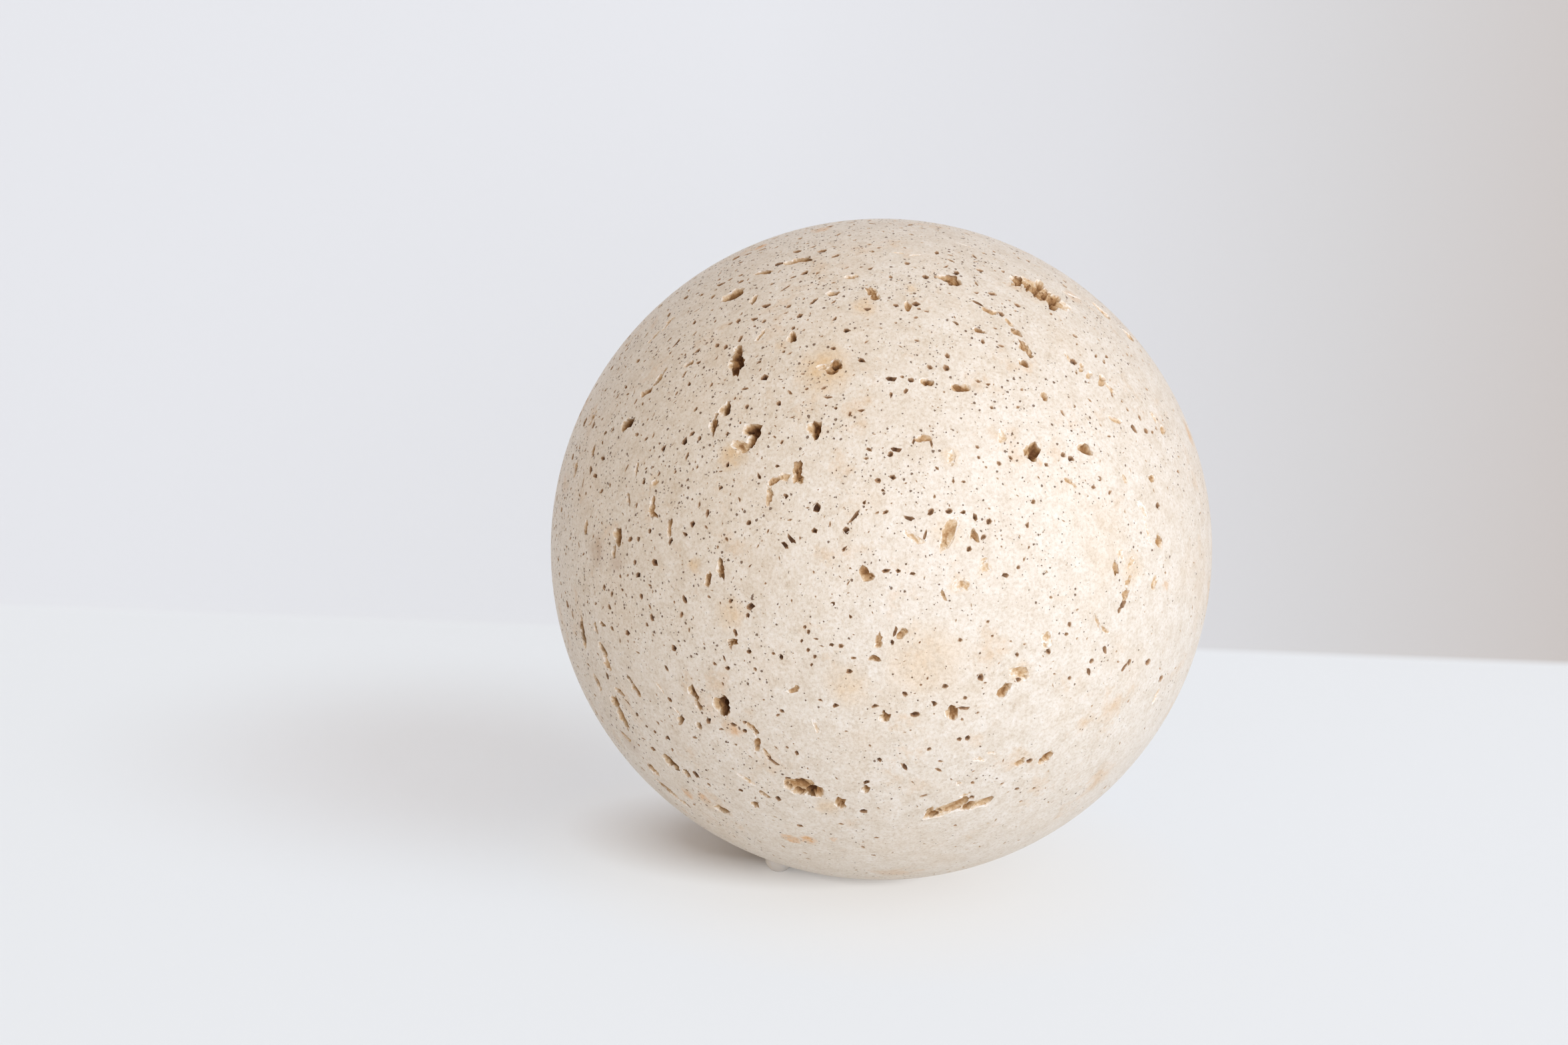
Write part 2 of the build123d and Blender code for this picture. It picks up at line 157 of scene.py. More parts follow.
small_pit_shares = (
    (-0.312, 0.862, 0.024, 0.020, 20), (-0.202, 0.751, 0.032, 0.012, 40), (-0.245, 0.707, 0.016, 0.014, 60),
    (-0.555, 0.600, 0.022, 0.012, 50), (-0.618, 0.625, 0.028, 0.012, 50), (-0.288, 0.160, 0.014, 0.012, 0),
    (-0.195, 0.125, 0.022, 0.020, 0), (-0.637, 0.022, 0.020, 0.014, 70), (-0.105, 0.056, 0.022, 0.014, 80),
    (-0.080, 0.098, 0.036, 0.012, 50), (-0.272, 0.030, 0.026, 0.014, -50),
    (-0.292, 0.012, 0.022, 0.014, -45), (-0.355, 0.690, 0.012, 0.010, 40),
    (-0.425, 0.810, 0.015, 0.012, 20), (-0.280, 0.735, 0.014, 0.010, 30), (-0.290, 0.790, 0.030, 0.008, 35),
    (-0.295, 0.598, 0.010, 0.009, 0), (-0.265, 0.670, 0.012, 0.010, 50), (-0.370, 0.565, 0.015, 0.010, 40),
    (-0.595, 0.530, 0.022, 0.008, 60), (-0.640, 0.635, 0.014, 0.009, 50), (-0.835, 0.480, 0.016, 0.012, 60),
    (-0.835, 0.350, 0.016, 0.012, 70), (-0.735, 0.030, 0.014, 0.012, 80), (-0.700, 0.055, 0.014, 0.010, 80),
    (-0.550, 0.335, 0.012, 0.010, 60), (-0.550, 0.135, 0.020, 0.007, 85), (-0.400, 0.080, 0.016, 0.010, 30),
    (-0.485, 0.185, 0.014, 0.010, 70), (0.362, 0.711, 0.022, 0.014, -25), (0.293, 0.744, 0.040, 0.010, -25),
    (0.170, 0.823, 0.018, 0.016, 0), (0.226, 0.836, 0.020, 0.018, -20), (0.211, 0.803, 0.016, 0.014, 60),
    (0.135, 0.823, 0.018, 0.018, 30), (0.106, 0.742, 0.018, 0.018, 30), (0.137, 0.720, 0.016, 0.008, -10),
    (0.115, 0.727, 0.010, 0.008, 0), (0.337, 0.772, 0.022, 0.014, 0), (0.225, 0.684, 0.018, 0.012, -35),
    (0.090, 0.512, 0.014, 0.012, -20), (0.030, 0.516, 0.024, 0.016, 0), (0.075, 0.478, 0.018, 0.010, 50),
    (0.045, 0.302, 0.024, 0.014, -5), (0.028, 0.287, 0.014, 0.012, 40), (0.100, 0.326, 0.018, 0.010, 70),
    (0.152, 0.320, 0.026, 0.008, -80), (0.150, 0.112, 0.018, 0.012, 50), (0.205, 0.115, 0.016, 0.012, 10),
    (0.085, 0.093, 0.024, 0.014, -15), (0.133, 0.040, 0.028, 0.008, 75), (0.310, 0.036, 0.018, 0.010, 50),
    (0.326, 0.083, 0.018, 0.014, 30), (0.550, 0.285, 0.016, 0.014, -20), (0.575, 0.272, 0.018, 0.016, 60),
    (0.662, 0.213, 0.014, 0.012, 0), (0.642, 0.187, 0.014, 0.010, 30), (0.802, 0.357, 0.020, 0.014, 0),
    (0.762, 0.366, 0.028, 0.018, -50), (0.837, 0.132, 0.018, 0.018, 90), (0.583, 0.566, 0.022, 0.018, 60),
    (0.698, 0.468, 0.020, 0.010, -70), (0.586, 0.645, 0.018, 0.012, -30), (0.585, 0.432, 0.010, 0.009, 0),
    (0.550, 0.410, 0.020, 0.008, -60), (0.460, 0.143, 0.012, 0.010, 40), (0.335, 0.428, 0.010, 0.009, 0),
    (0.415, 0.430, 0.014, 0.007, 20), (0.500, 0.255, 0.012, 0.010, 0), (-0.441, -0.253, 0.020, 0.010, -65),
    (-0.458, -0.291, 0.022, 0.008, -70), (-0.395, -0.174, 0.022, 0.016, 40),
    (-0.403, -0.201, 0.016, 0.009, 80), (-0.303, -0.327, 0.014, 0.013, 0),
    (-0.595, -0.151, 0.020, 0.011, -70), (-0.626, -0.300, 0.016, 0.016, 0),
    (-0.828, -0.385, 0.024, 0.014, -75), (-0.736, -0.080, 0.018, 0.016, 40),
    (-0.522, -0.520, 0.020, 0.013, 80), (-0.645, -0.573, 0.020, 0.014, 80),
    (-0.690, -0.605, 0.018, 0.014, 20), (-0.685, -0.553, 0.010, 0.009, 0),
    (-0.710, -0.537, 0.010, 0.009, 0), (-0.559, -0.683, 0.026, 0.018, -50),
    (-0.328, -0.640, 0.036, 0.012, -35), (-0.280, -0.695, 0.016, 0.014, 0),
    (-0.225, -0.722, 0.014, 0.012, 0), (-0.044, -0.706, 0.018, 0.014, 30),
    (-0.053, -0.793, 0.022, 0.016, -15), (-0.255, -0.617, 0.014, 0.010, -60),
    (-0.311, -0.755, 0.018, 0.014, -50), (-0.230, -0.235, 0.010, 0.008, 60),
    (-0.220, -0.250, 0.010, 0.008, 60), (-0.240, -0.278, 0.010, 0.008, 60),
    (-0.220, -0.305, 0.012, 0.008, 70), (-0.200, -0.325, 0.012, 0.008, 60),
    (-0.210, -0.350, 0.010, 0.008, 60), (-0.745, -0.040, 0.014, 0.011, 70),
    (-0.838, -0.115, 0.016, 0.012, 80), (-0.815, -0.137, 0.016, 0.012, 80),
    (-0.650, -0.360, 0.018, 0.010, -60), (-0.640, -0.455, 0.014, 0.010, -50),
    (-0.740, -0.500, 0.014, 0.012, -50), (-0.400, -0.310, 0.012, 0.010, 0),
    (-0.145, -0.165, 0.012, 0.010, 40), (-0.150, -0.290, 0.012, 0.010, 0),
    (-0.455, -0.157, 0.014, 0.010, 60), (-0.465, -0.360, 0.012, 0.010, 0),
    (-0.475, -0.330, 0.018, 0.007, -70), (-0.300, -0.490, 0.012, 0.010, 0),
    (-0.095, -0.370, 0.016, 0.012, 0), (-0.412, -0.525, 0.012, 0.010, 0), (-0.413, -0.550, 0.012, 0.010, 0),
    (-0.005, -0.638, 0.014, 0.012, 0), (-0.425, -0.730, 0.014, 0.012, 0), (-0.245, -0.837, 0.016, 0.012, 0),
    (0.266, 0.000, 0.016, 0.013, 20), (0.042, -0.250, 0.024, 0.010, 75), (0.033, -0.283, 0.012, 0.012, 0),
    (0.506, -0.310, 0.018, 0.014, 90), (0.415, -0.395, 0.020, 0.012, 10),
    (0.301, -0.389, 0.022, 0.016, -60), (0.250, -0.480, 0.026, 0.012, 0), (0.160, -0.468, 0.018, 0.014, 0),
    (0.072, -0.438, 0.018, 0.012, -60), (0.102, -0.500, 0.022, 0.014, 0), (0.262, -0.572, 0.014, 0.014, 0),
    (0.236, -0.575, 0.014, 0.012, -30), (0.072, -0.658, 0.032, 0.012, -50),
    (0.448, -0.640, 0.016, 0.014, 0), (0.730, -0.165, 0.024, 0.020, 70), (0.720, -0.185, 0.018, 0.012, 60),
    (0.570, -0.228, 0.016, 0.012, 80), (0.637, -0.338, 0.016, 0.012, 45),
    (0.628, -0.370, 0.028, 0.012, -65), (0.675, -0.302, 0.026, 0.014, -70),
    (0.750, -0.342, 0.020, 0.014, 70), (0.806, -0.341, 0.020, 0.016, 0), (0.733, -0.360, 0.030, 0.012, 55),
    (0.846, -0.391, 0.022, 0.018, 30), (0.145, -0.605, 0.014, 0.010, 20),
    (0.175, -0.668, 0.022, 0.008, -30), (0.130, -0.745, 0.024, 0.008, 20), (0.275, -0.750, 0.014, 0.012, 0),
    (0.410, -0.725, 0.014, 0.012, 0), (0.195, -0.415, 0.016, 0.012, 0), (0.240, -0.275, 0.012, 0.010, 0),
    (0.410, -0.320, 0.014, 0.011, 0), (0.375, -0.080, 0.018, 0.014, 0), (0.415, -0.055, 0.012, 0.010, 0),
    (0.095, -0.075, 0.014, 0.010, 0), (0.255, -0.450, 0.012, 0.010, 0), (0.560, -0.257, 0.012, 0.010, 0),
    (0.570, -0.390, 0.012, 0.010, 0),
)

# Stained patches: across and up in the view, radius on the stone as a share of the ball's, and strength
peach_patch_shares = (
    (-0.050, 0.735, 0.050, 0.60), (0.090, 0.790, 0.030, 0.50), (-0.170, 0.545, 0.100, 0.80),
    (-0.450, 0.280, 0.050, 0.90), (-0.685, 0.205, 0.030, 0.60), (0.210, 0.280, 0.035, 0.60),
    (-0.455, -0.195, 0.060, 0.50), (-0.100, -0.410, 0.080, 0.45), (-0.565, -0.050, 0.030, 0.70),
    (0.240, -0.110, 0.035, 0.55), (0.315, -0.055, 0.030, 0.50), (0.420, -0.370, 0.045, 0.50),
    (0.120, -0.330, 0.130, 0.40), (0.200, 0.050, 0.055, 0.45), (-0.300, 0.620, 0.030, 0.50),
    (-0.160, -0.780, 0.050, 0.55), (0.470, 0.780, 0.080, 0.50), (0.760, -0.060, 0.060, 0.45),
)
orange_patch_shares = (
    (-0.365, 0.915, 0.030, 0.90), (-0.180, 0.968, 0.035, 0.80), (0.930, 0.350, 0.050, 0.60),
    (-0.585, -0.740, 0.030, 0.80), (-0.540, -0.750, 0.025, 0.70), (-0.450, -0.545, 0.035, 0.60),
    (-0.270, -0.876, 0.032, 1.00), (-0.220, -0.880, 0.032, 1.00), (-0.140, -0.880, 0.016, 0.60),
    (0.857, -0.117, 0.020, 0.70), (0.580, 0.765, 0.040, 0.50), (0.480, 0.255, 0.020, 0.50),
)
brown_patch_shares = (
    (-0.860, -0.010, 0.060, 0.60), (-0.800, -0.035, 0.045, 0.45), (-0.760, -0.585, 0.060, 0.40),
)

# A pit's depth as a share of its width, and how far its lump's middle lies under the stone's skin, as a
# share of that depth
depth_share = {"deep": 0.74, "hollow": 0.54, "shallow": 0.3, "small": 0.52, "pore": 0.62}
sunk_share = {"deep": 0.12, "hollow": 0.0, "shallow": -0.25, "small": 0.1, "pore": 0.0}

# Lobes and chips draw a pit's mouth in, and this makes up for it
mouth_share = 1.14

# Pits are deeper on the left of the view than on the right, so that, through the colour that darkens with
# depth, their insides are also painted darker there, as painted shade of the side away from the lamps
depth_lean_share = 0.45

# How far a pit reaches with its lobes and chips, as a share of half its length
pit_reach_share = 1.35

# The smaller lump that opens one end of a pit: how far along and across it lies, its length, width and
# depth, as shares of the pit's own, and how far it turns, in radians
opening_along_shares = (0.55, 0.95)
opening_across_shares = (-0.5, 0.5)
opening_long_shares = (0.45, 0.75)
opening_wide_shares = (0.55, 0.9)
opening_deep_share = 0.8
opening_turn = 0.5

# A deep pit slopes in gently on the left, where its lip is chipped: the chip's length, width and depth and
# how far out it lies, as shares of the pit's width, its reach as a share of its own length, and how far it
# turns, in radians
chip_long_share = 1.3
chip_wide_share = 0.95
chip_deep_share = 0.3
chip_reach_share = 0.7
chip_out_share = 0.38
chip_turn = 0.4

# Pores too small to be placed one by one, strewn over the whole ball: their lengths, a power that makes the
# short ones the more common, their widths and reaches as shares of the length and of half of it, and how far
# they turn, in radians
pore_tries = 12600
pore_least = 0.42 * MM
pore_most = 1.9 * MM
pore_shortness = 2.7
pore_wide_shares = (0.3, 0.8)
pore_reach_share = 1.3
pore_turn = 0.6

# How thick the pores are, how much more so in the bands and high on the left of the view, and how much
# longer they are high on the left and shorter low on the right
pore_thick = 0.38
pore_thick_banded = 0.6
pore_thick_leftward = 0.65
pore_longer_share = 0.35
pore_shorter_share = 0.3

# Bands in the stone, as turns of the pattern along and across them in a ball's radius
band_along = 2.2
band_across = 5.5

# Pores keep off the feet by this margin, and off the pits by this share of a pit's reach
foot_margin = 1.6 * MM
pit_clear_share = 0.8

# How finely a pit's lump is modelled, by the pit's length as a share of the ball's radius
fine_from_share = 0.044
coarse_from_share = 0.024

# Pits are sorted into cells of this size, so that only near ones are compared, and cut so many at a time
cell_size = 20 * MM
batch_most = 700

# How far apart the lumps start in the cloud that lobes them, and a pore's cone: how tall it is and how far
# it stands out of the skin, for a lump of radius one
lump_apart = 5
cone_tall = 1.25
cone_out = 0.25

# Edges sharper than this stay sharp
sharp_edge = math.radians(38)


def linear(hex_colour):
    """An sRGB hex colour as linear red, green, blue and alpha."""
    values = [int(hex_colour[i:i + 2], 16) / 255 for i in (1, 3, 5)]
    return [v / 12.92 if v <= 0.04045 else ((v + 0.055) / 1.055) ** 2.4 for v in values] + [1.0]


def node(tree, kind, settings=None, **links):
    """Adds a shader node of a kind.

    Settings name its options, its sockets by name or number, a ramp's stops of place and hex colour, or a
    range's limits, from and to. Links name the sockets that feed its own, by name, or by number as a0, a1.
    """
    made = tree.nodes.new("ShaderNode" + kind)
    for key, value in (settings or {}).items():
        if key == "stops":
            band = made.color_ramp.elements
            while len(band) < len(value):
                band.new(0.5)
            for stop, (place, colour) in zip(band, value):
                stop.position = place
                stop.color = linear(colour)
        elif key == "limits":
            for number, limit in enumerate(value, 1):
                made.inputs[number].default_value = limit
        elif hasattr(made, key):
            setattr(made, key, value)
        else:
            made.inputs[int(key) if key.isdigit() else key].default_value = value
    for key, source in links.items():
        name = int(key[1:]) if key[1:].isdigit() else key.replace("_", " ")
        tree.links.new(source, made.inputs[name])
    return made


def only(piece):
    """Makes one piece the only one selected, and active."""
    bpy.ops.object.select_all(action="DESELECT")
    piece.select_set(True)
    bpy.context.view_layer.objects.active = piece


# The view's directions on the ball
level_right = Vector((1, 0, 0))
level_up = Vector((0, math.sin(view_rise), math.cos(view_rise)))
view_toward = Vector((0, -math.cos(view_rise), math.sin(view_rise)))
view_right = level_right * math.cos(view_roll) + level_up * math.sin(view_roll)
view_up = level_up * math.cos(view_roll) - level_right * math.sin(view_roll)


def seen_direction(across, up):
    """Direction from the ball's middle to the spot seen there in the view."""
    out = math.hypot(across, up)
    edge = math.asin(1 / view_distance_share)
    sight = math.atan(out * math.tan(edge))
    spot = math.asin(view_distance_share * math.sin(sight)) - sight
    turn = math.atan2(up, across)
    flat = view_right * math.cos(turn) + view_up * math.sin(turn)
    return flat * math.sin(spot) + view_toward * math.cos(spot)


def pit_matrix(outward, lean, length, width, depth, sunk):
    """Places a lump of radius one on the stone: X along the pit, Z outwards, to its mouth and depth."""
    along = view_right * math.cos(lean) + view_up * math.sin(lean)
    facing = view_toward if view_toward.dot(outward) > 0 else -view_toward
    along = (along - facing * (along.dot(outward) / facing.dot(outward))).normalized()
    across = outward.cross(along)
    place = ball_centre + outward * (ball_radius - sunk)
    columns = (along * length / 2, across * width / 2, outward * depth)
    matrix = Matrix.Identity(4)
    for number, column in enumerate((*columns, place)):
        for row in range(3):
            matrix[row][number] = column[row]
    return matrix


broken = bpy.data.textures.new("broken", "CLOUDS")
broken.noise_scale = 0.7
broken.noise_depth = 2


def knocked_about(piece, chips, seed):
    """Moves a lump's corners at random, so that it looks broken and not turned."""
    bpy.ops.object.mode_set(mode="EDIT")
    bpy.ops.mesh.select_all(action="SELECT")
    bpy.ops.transform.vertex_random(offset=chips, uniform=0.5, normal=0.2, seed=seed)
    bpy.ops.object.mode_set(mode="OBJECT")
    return piece


def lump(name, fineness, lobes, chips, seed):
    """A broken lump of radius about one, whose shape a pit takes: lobed and chipped."""
    bpy.ops.object.select_all(action="DESELECT")
    start = (lump_apart * seed, 0, 0)
    bpy.ops.mesh.primitive_ico_sphere_add(subdivisions=fineness, radius=1, location=start)
    piece = bpy.context.object
    piece.name = name
    swell = piece.modifiers.new("lobes", "DISPLACE")
    swell.texture = broken
    swell.texture_coords = "GLOBAL"
    swell.strength = lobes
    bpy.ops.object.modifier_apply(modifier=swell.name)
    piece.location = (0, 0, 0)
    return knocked_about(piece, chips, seed)


def pore_lump(name, corners, narrow, chips, seed):
    """A small pore's lump: a short cone of few sides, narrow end inwards, with its corners knocked about."""
    bpy.ops.object.select_all(action="DESELECT")
    bpy.ops.mesh.primitive_cone_add(vertices=corners, radius1=narrow, radius2=1 + cone_out, depth=cone_tall,
                                    location=(0, 0, cone_out - cone_tall / 2))
    piece = bpy.context.object
    piece.name = name
    bpy.ops.object.transform_apply(location=True, rotation=True, scale=True)
    return knocked_about(piece, chips, seed)


def half_turned(direction):
    """The same place on the back, half a turn about the level line through the ball's middle."""
    return Vector((direction.x, -direction.y, -direction.z))


foot_boxes = [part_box(name) for name in foot_names]
foot_middles = [(low + high) / 2 for low, high in foot_boxes]
foot_reach = max((high - low).x for low, high in foot_boxes) / 2 + foot_margin


def clear_of_feet(place, reach):
    """Whether a pit leaves whole stone for every foot to stick to."""
    return all((place - middle).length > reach + foot_reach for middle in foot_middles)


def opening(matrix, grade, chance):
    """A smaller lump that opens one end of a pit unevenly: its matrix, middle and reach."""
    length, width, depth = (matrix.col[number].length for number in range(3))
    along, across = (matrix.col[number].xyz.normalized() for number in range(2))
    place = matrix.translation
    place = place + along * length * chance.choice((-1, 1)) * chance.uniform(*opening_along_shares)
    place += across * width * chance.uniform(*opening_across_shares)
    outward = (place - ball_centre).normalized()
    turn = Matrix.Rotation(chance.gauss(0, opening_turn), 3, outward)
    along = (turn @ (along - outward * along.dot(outward))).normalized()
    across = outward.cross(along)
    length *= chance.uniform(*opening_long_shares)
    width *= chance.uniform(*opening_wide_shares)
    place = ball_centre + outward * (ball_radius - sunk_share[grade] * depth)
    columns = (along * length, across * width, outward * depth * opening_deep_share)
    made = Matrix(columns).transposed().to_4x4()
    made.translation = place
    return made, place, length * pit_reach_share


def pit_list():
    """Every pit, front and back: its matrix, middle and reach, the kind of its lump and its finish."""
    chance = random.Random(17)
    pits = []
    graded = (
        ("deep", deep_pit_shares), ("hollow", hollow_pit_shares),
        ("shallow", shallow_pit_shares), ("small", small_pit_shares),
    )
    for grade, rows in graded:
        for across, up, long, wide, lean in rows:
            length = long * ball_radius * mouth_share
            width = wide * ball_radius * mouth_share
            depth = depth_share[grade] * width * (1 - depth_lean_share * across)
            kind = "fine" if long >= fine_from_share else "coarse" if long >= coarse_from_share else "small"
            for side in ("front", "back"):
                outward = seen_direction(across, up)
                turned = math.radians(lean)
                if side == "back":
                    outward = half_turned(outward)
                    turned = -turned
                matrix = pit_matrix(outward, turned, length, width, depth, sunk_share[grade] * depth)
                place = ball_centre + outward * ball_radius
                if not clear_of_feet(place, length):
                    continue
                finish = "pore" if grade == "small" else "wall"
                pits.append((matrix, place, length / 2 * pit_reach_share, kind, finish))
                if grade != "small":
                    pits.append((*opening(matrix, grade, chance), "small", "wall"))
                if grade == "deep":
                    beside = (outward * ball_radius - view_right * width * chip_out_share).normalized()
                    matrix = pit_matrix(beside, turned + chance.gauss(0, chip_turn), width * chip_long_share,
                                        width * chip_wide_share, width * chip_deep_share, 0)
                    place = ball_centre + beside * ball_radius
                    pits.append((matrix, place, width * chip_long_share * chip_reach_share, "small", "wall"))
    return pits


def cell(place):
    """The cell that a place falls in."""
    return tuple(math.floor(value / cell_size) for value in place)


def crowds(cells, place, reach):
    """Whether anything in the cells round a place comes within reach of it."""
    x, y, z = cell(place)
    for right, back, up in itertools.product((-1, 0, 1), repeat=3):
        for other, away in cells.get((x + right, y + back, z + up), ()):
            if (place - other).length < reach + away:
                return True
    return False


def strewn_pores(pits):
    """Small pores strewn in slanting bands, clear of the pits, thickest high on the left."""
    chance = random.Random(41)
    cells = {}
    for _, place, reach, _, _ in pits:
        cells.setdefault(cell(place), []).append((place, reach * pit_clear_share))
    pores = []
    for _ in range(pore_tries):
        outward = Vector([chance.gauss(0, 1) for _ in range(3)]).normalized()
        across = outward.dot(view_right)
        up = outward.dot(view_up)
        toward = outward.dot(view_toward)
        band = noise.noise(Vector((across * band_along - up * band_along, (across + up) * band_across,
                                   toward * band_along)))
        leftward = max(0, up - across) * (toward > 0)
        rightward = max(0, across - up) * (toward > 0)
        thick = pore_thick + pore_thick_banded * band + pore_thick_leftward * leftward
        if chance.random() > thick:
            continue
        length = pore_least + (pore_most - pore_least) * chance.random() ** pore_shortness
        length *= 1 + pore_longer_share * leftward - pore_shorter_share * min(1, rightward)
        width = length * chance.uniform(*pore_wide_shares)
        place = ball_centre + outward * ball_radius
        reach = length / 2 * pore_reach_share
        if crowds(cells, place, reach) or not clear_of_feet(place, reach):
            continue
        lean = math.atan2(up, across) + math.pi / 2 + chance.gauss(0, pore_turn)
        depth = width * depth_share["pore"] * (1 - depth_lean_share * across)
        matrix = pit_matrix(outward, lean, length, width, depth, depth * sunk_share["pore"])
        cells.setdefault(cell(place), []).append((place, reach))
        pores.append((matrix, place, reach, "tiny", "pore"))
    return pores


def in_batches(pits):
    """Sorts pits into batches in which no two touch, so that each batch cuts cleanly."""
    batches = []
    for pit in sorted(pits, key=lambda pit: -pit[2]):
        place, reach = pit[1:3]
        for batch, cells in batches:
            if len(batch) < batch_most and not crowds(cells, place, reach):
                break
        else:
            batch, cells = [], {}
            batches.append((batch, cells))
        batch.append(pit)
        cells.setdefault(cell(place), []).append((place, reach))
    return [batch for batch, _ in batches]


# The stone: a ball, cut by every pit
lumps = {
    "fine": [lump(f"broken_lump_{seed}", fineness=3, lobes=1.5, chips=0.11, seed=seed)
             for seed in range(1, 9)],
    "coarse": [lump(f"small_lump_{seed}", fineness=2, lobes=1.3, chips=0.15, seed=seed)
               for seed in range(11, 17)],
    "small": [pore_lump(f"chip_lump_{seed}", corners=8 + seed % 2, narrow=0.4, chips=0.34, seed=seed)
              for seed in range(31, 37)],
    "tiny": [pore_lump(f"pore_lump_{seed}", corners=5 + seed % 2, narrow=0, chips=0.4, seed=seed)
             for seed in range(21, 29)],
}
finishes = ("skin", "wall", "pore")
bpy.ops.object.select_all(action="DESELECT")
bpy.ops.mesh.primitive_ico_sphere_add(subdivisions=6, radius=ball_radius, location=ball_centre)
stone = bpy.context.object
stone.name = "honed_stone"
bpy.ops.object.transform_apply(location=True, rotation=True, scale=True)
travertine = {finish: bpy.data.materials.new(f"travertine_{finish}") for finish in finishes}
for finish in finishes:
    stone.data.materials.append(travertine[finish])

pits = pit_list()
pits += strewn_pores(pits)
pick = random.Random(5)
for batch in in_batches(pits):
    cutters = []
    for matrix, _, _, kind, finish in batch:
        model = pick.choice(lumps[kind])
        cutter = model.copy()
        cutter.data = model.data.copy()
        cutter.data.transform(matrix)
        for other in finishes:
            cutter.data.materials.append(travertine[other])
        slots = [finishes.index(finish)] * len(cutter.data.polygons)
        cutter.data.polygons.foreach_set("material_index", slots)
        bpy.context.scene.collection.objects.link(cutter)
        cutters.append(cutter)
    bpy.ops.object.select_all(action="DESELECT")
    for cutter in cutters:
        cutter.select_set(True)
    bpy.context.view_layer.objects.active = cutters[0]
    if len(cutters) > 1:
        bpy.ops.object.join()
    cutter = cutters[0]
    only(stone)
    cut = stone.modifiers.new("open_pits", "BOOLEAN")
    cut.operation = "DIFFERENCE"
    cut.solver = "MANIFOLD"
    cut.object = cutter
    bpy.ops.object.modifier_apply(modifier=cut.name)
    bpy.data.objects.remove(cutter)
for models in lumps.values():
    for model in models:
        bpy.data.objects.remove(model)
only(stone)
bpy.ops.object.shade_smooth_by_angle(angle=sharp_edge)
print("pits", len(pits), "stone faces", len(stone.data.polygons),
      "triangles", sum(len(face.vertices) - 2 for face in stone.data.polygons))

# Honed travertine: cream limestone laid down in bands, cut and rubbed to a soft sheen. Its pores stay open,
# pale and chipped at the lip and brown inside, with iron-stained peach patches round some of them, and the
# brown inside deepens with depth partly as painted shade. The stone's own grain is finer than the grain and
# dust here, which are drawn as coarse as they need to show
broad_mottle = 22 * MM
small_mottle = 4 * MM
stain_size = 14 * MM
patch_blotch = 3 * MM
patch_stray = 5 * MM
patch_core_share = 0.3
speck_ragged = 0.5 * MM
speck_stray = 0.45 * MM
speck_band = 13 * MM
dust_size = 0.7 * MM
grain_size = 0.8 * MM
grain_height = 0.16 * MM
crumb_size = 0.7 * MM
crumb_height = 0.25 * MM

# Fine specks: how far apart each kind is, and the least and most radius as shares of that, where less than
# nothing doesn't show. They are thicker high on the left of the view and thinner low on the right
speck_kinds = ((1.4 * MM, 0.0, 0.25), (0.8 * MM, -0.01, 0.25))
speck_lean_share = 0.16

for finish in finishes:
    travertine[finish].use_nodes = True
    travertine[finish].node_tree.nodes.clear()
tree = travertine["skin"].node_tree
output = node(tree, "OutputMaterial")
shader = node(tree, "BsdfPrincipled", {"IOR": 1.5, "Specular IOR Level": 0.6})
tree.links.new(shader.outputs["BSDF"], output.inputs["Surface"])
where = node(tree, "TexCoord").outputs["Object"]

# Cream ground, mottled broadly and again finely
broad = node(tree, "TexNoise", {"Scale": 1 / broad_mottle, "Detail": 3.0, "Roughness": 0.55},
             Vector=where)
ground = node(tree, "ValToRGB", {"stops": ((0.3, "#E3DACB"), (0.52, "#E8E2D6"), (0.72, "#E5D8C4"))},
              Fac=broad.outputs["Fac"])
small = node(tree, "TexNoise", {"Scale": 1 / small_mottle, "Detail": 8.0, "Roughness": 0.72},
             Vector=where)
small_tone = node(tree, "ValToRGB", {"stops": ((0.32, "#D2C3AE"), (0.5, "#E9E2D7"), (0.66, "#F6F3EE"))},
                  Fac=small.outputs["Fac"])
mottled = node(tree, "Mix", {"data_type": "RGBA", "0": 0.5}, a6=ground.outputs["Color"],
               a7=small_tone.outputs["Color"])

# Peach stains in loose patches
stain = node(tree, "TexNoise", {"Scale": 1 / stain_size, "Detail": 5.0, "Roughness": 0.68}, Vector=where)
stain_share = node(tree, "MapRange", {"limits": (0.57, 0.74, 0.0, 0.7)}, Value=stain.outputs["Fac"])
stained = node(tree, "Mix", {"data_type": "RGBA", "7": linear("#DDBE96")},
               a0=stain_share.outputs["Result"], a6=mottled.outputs[2])

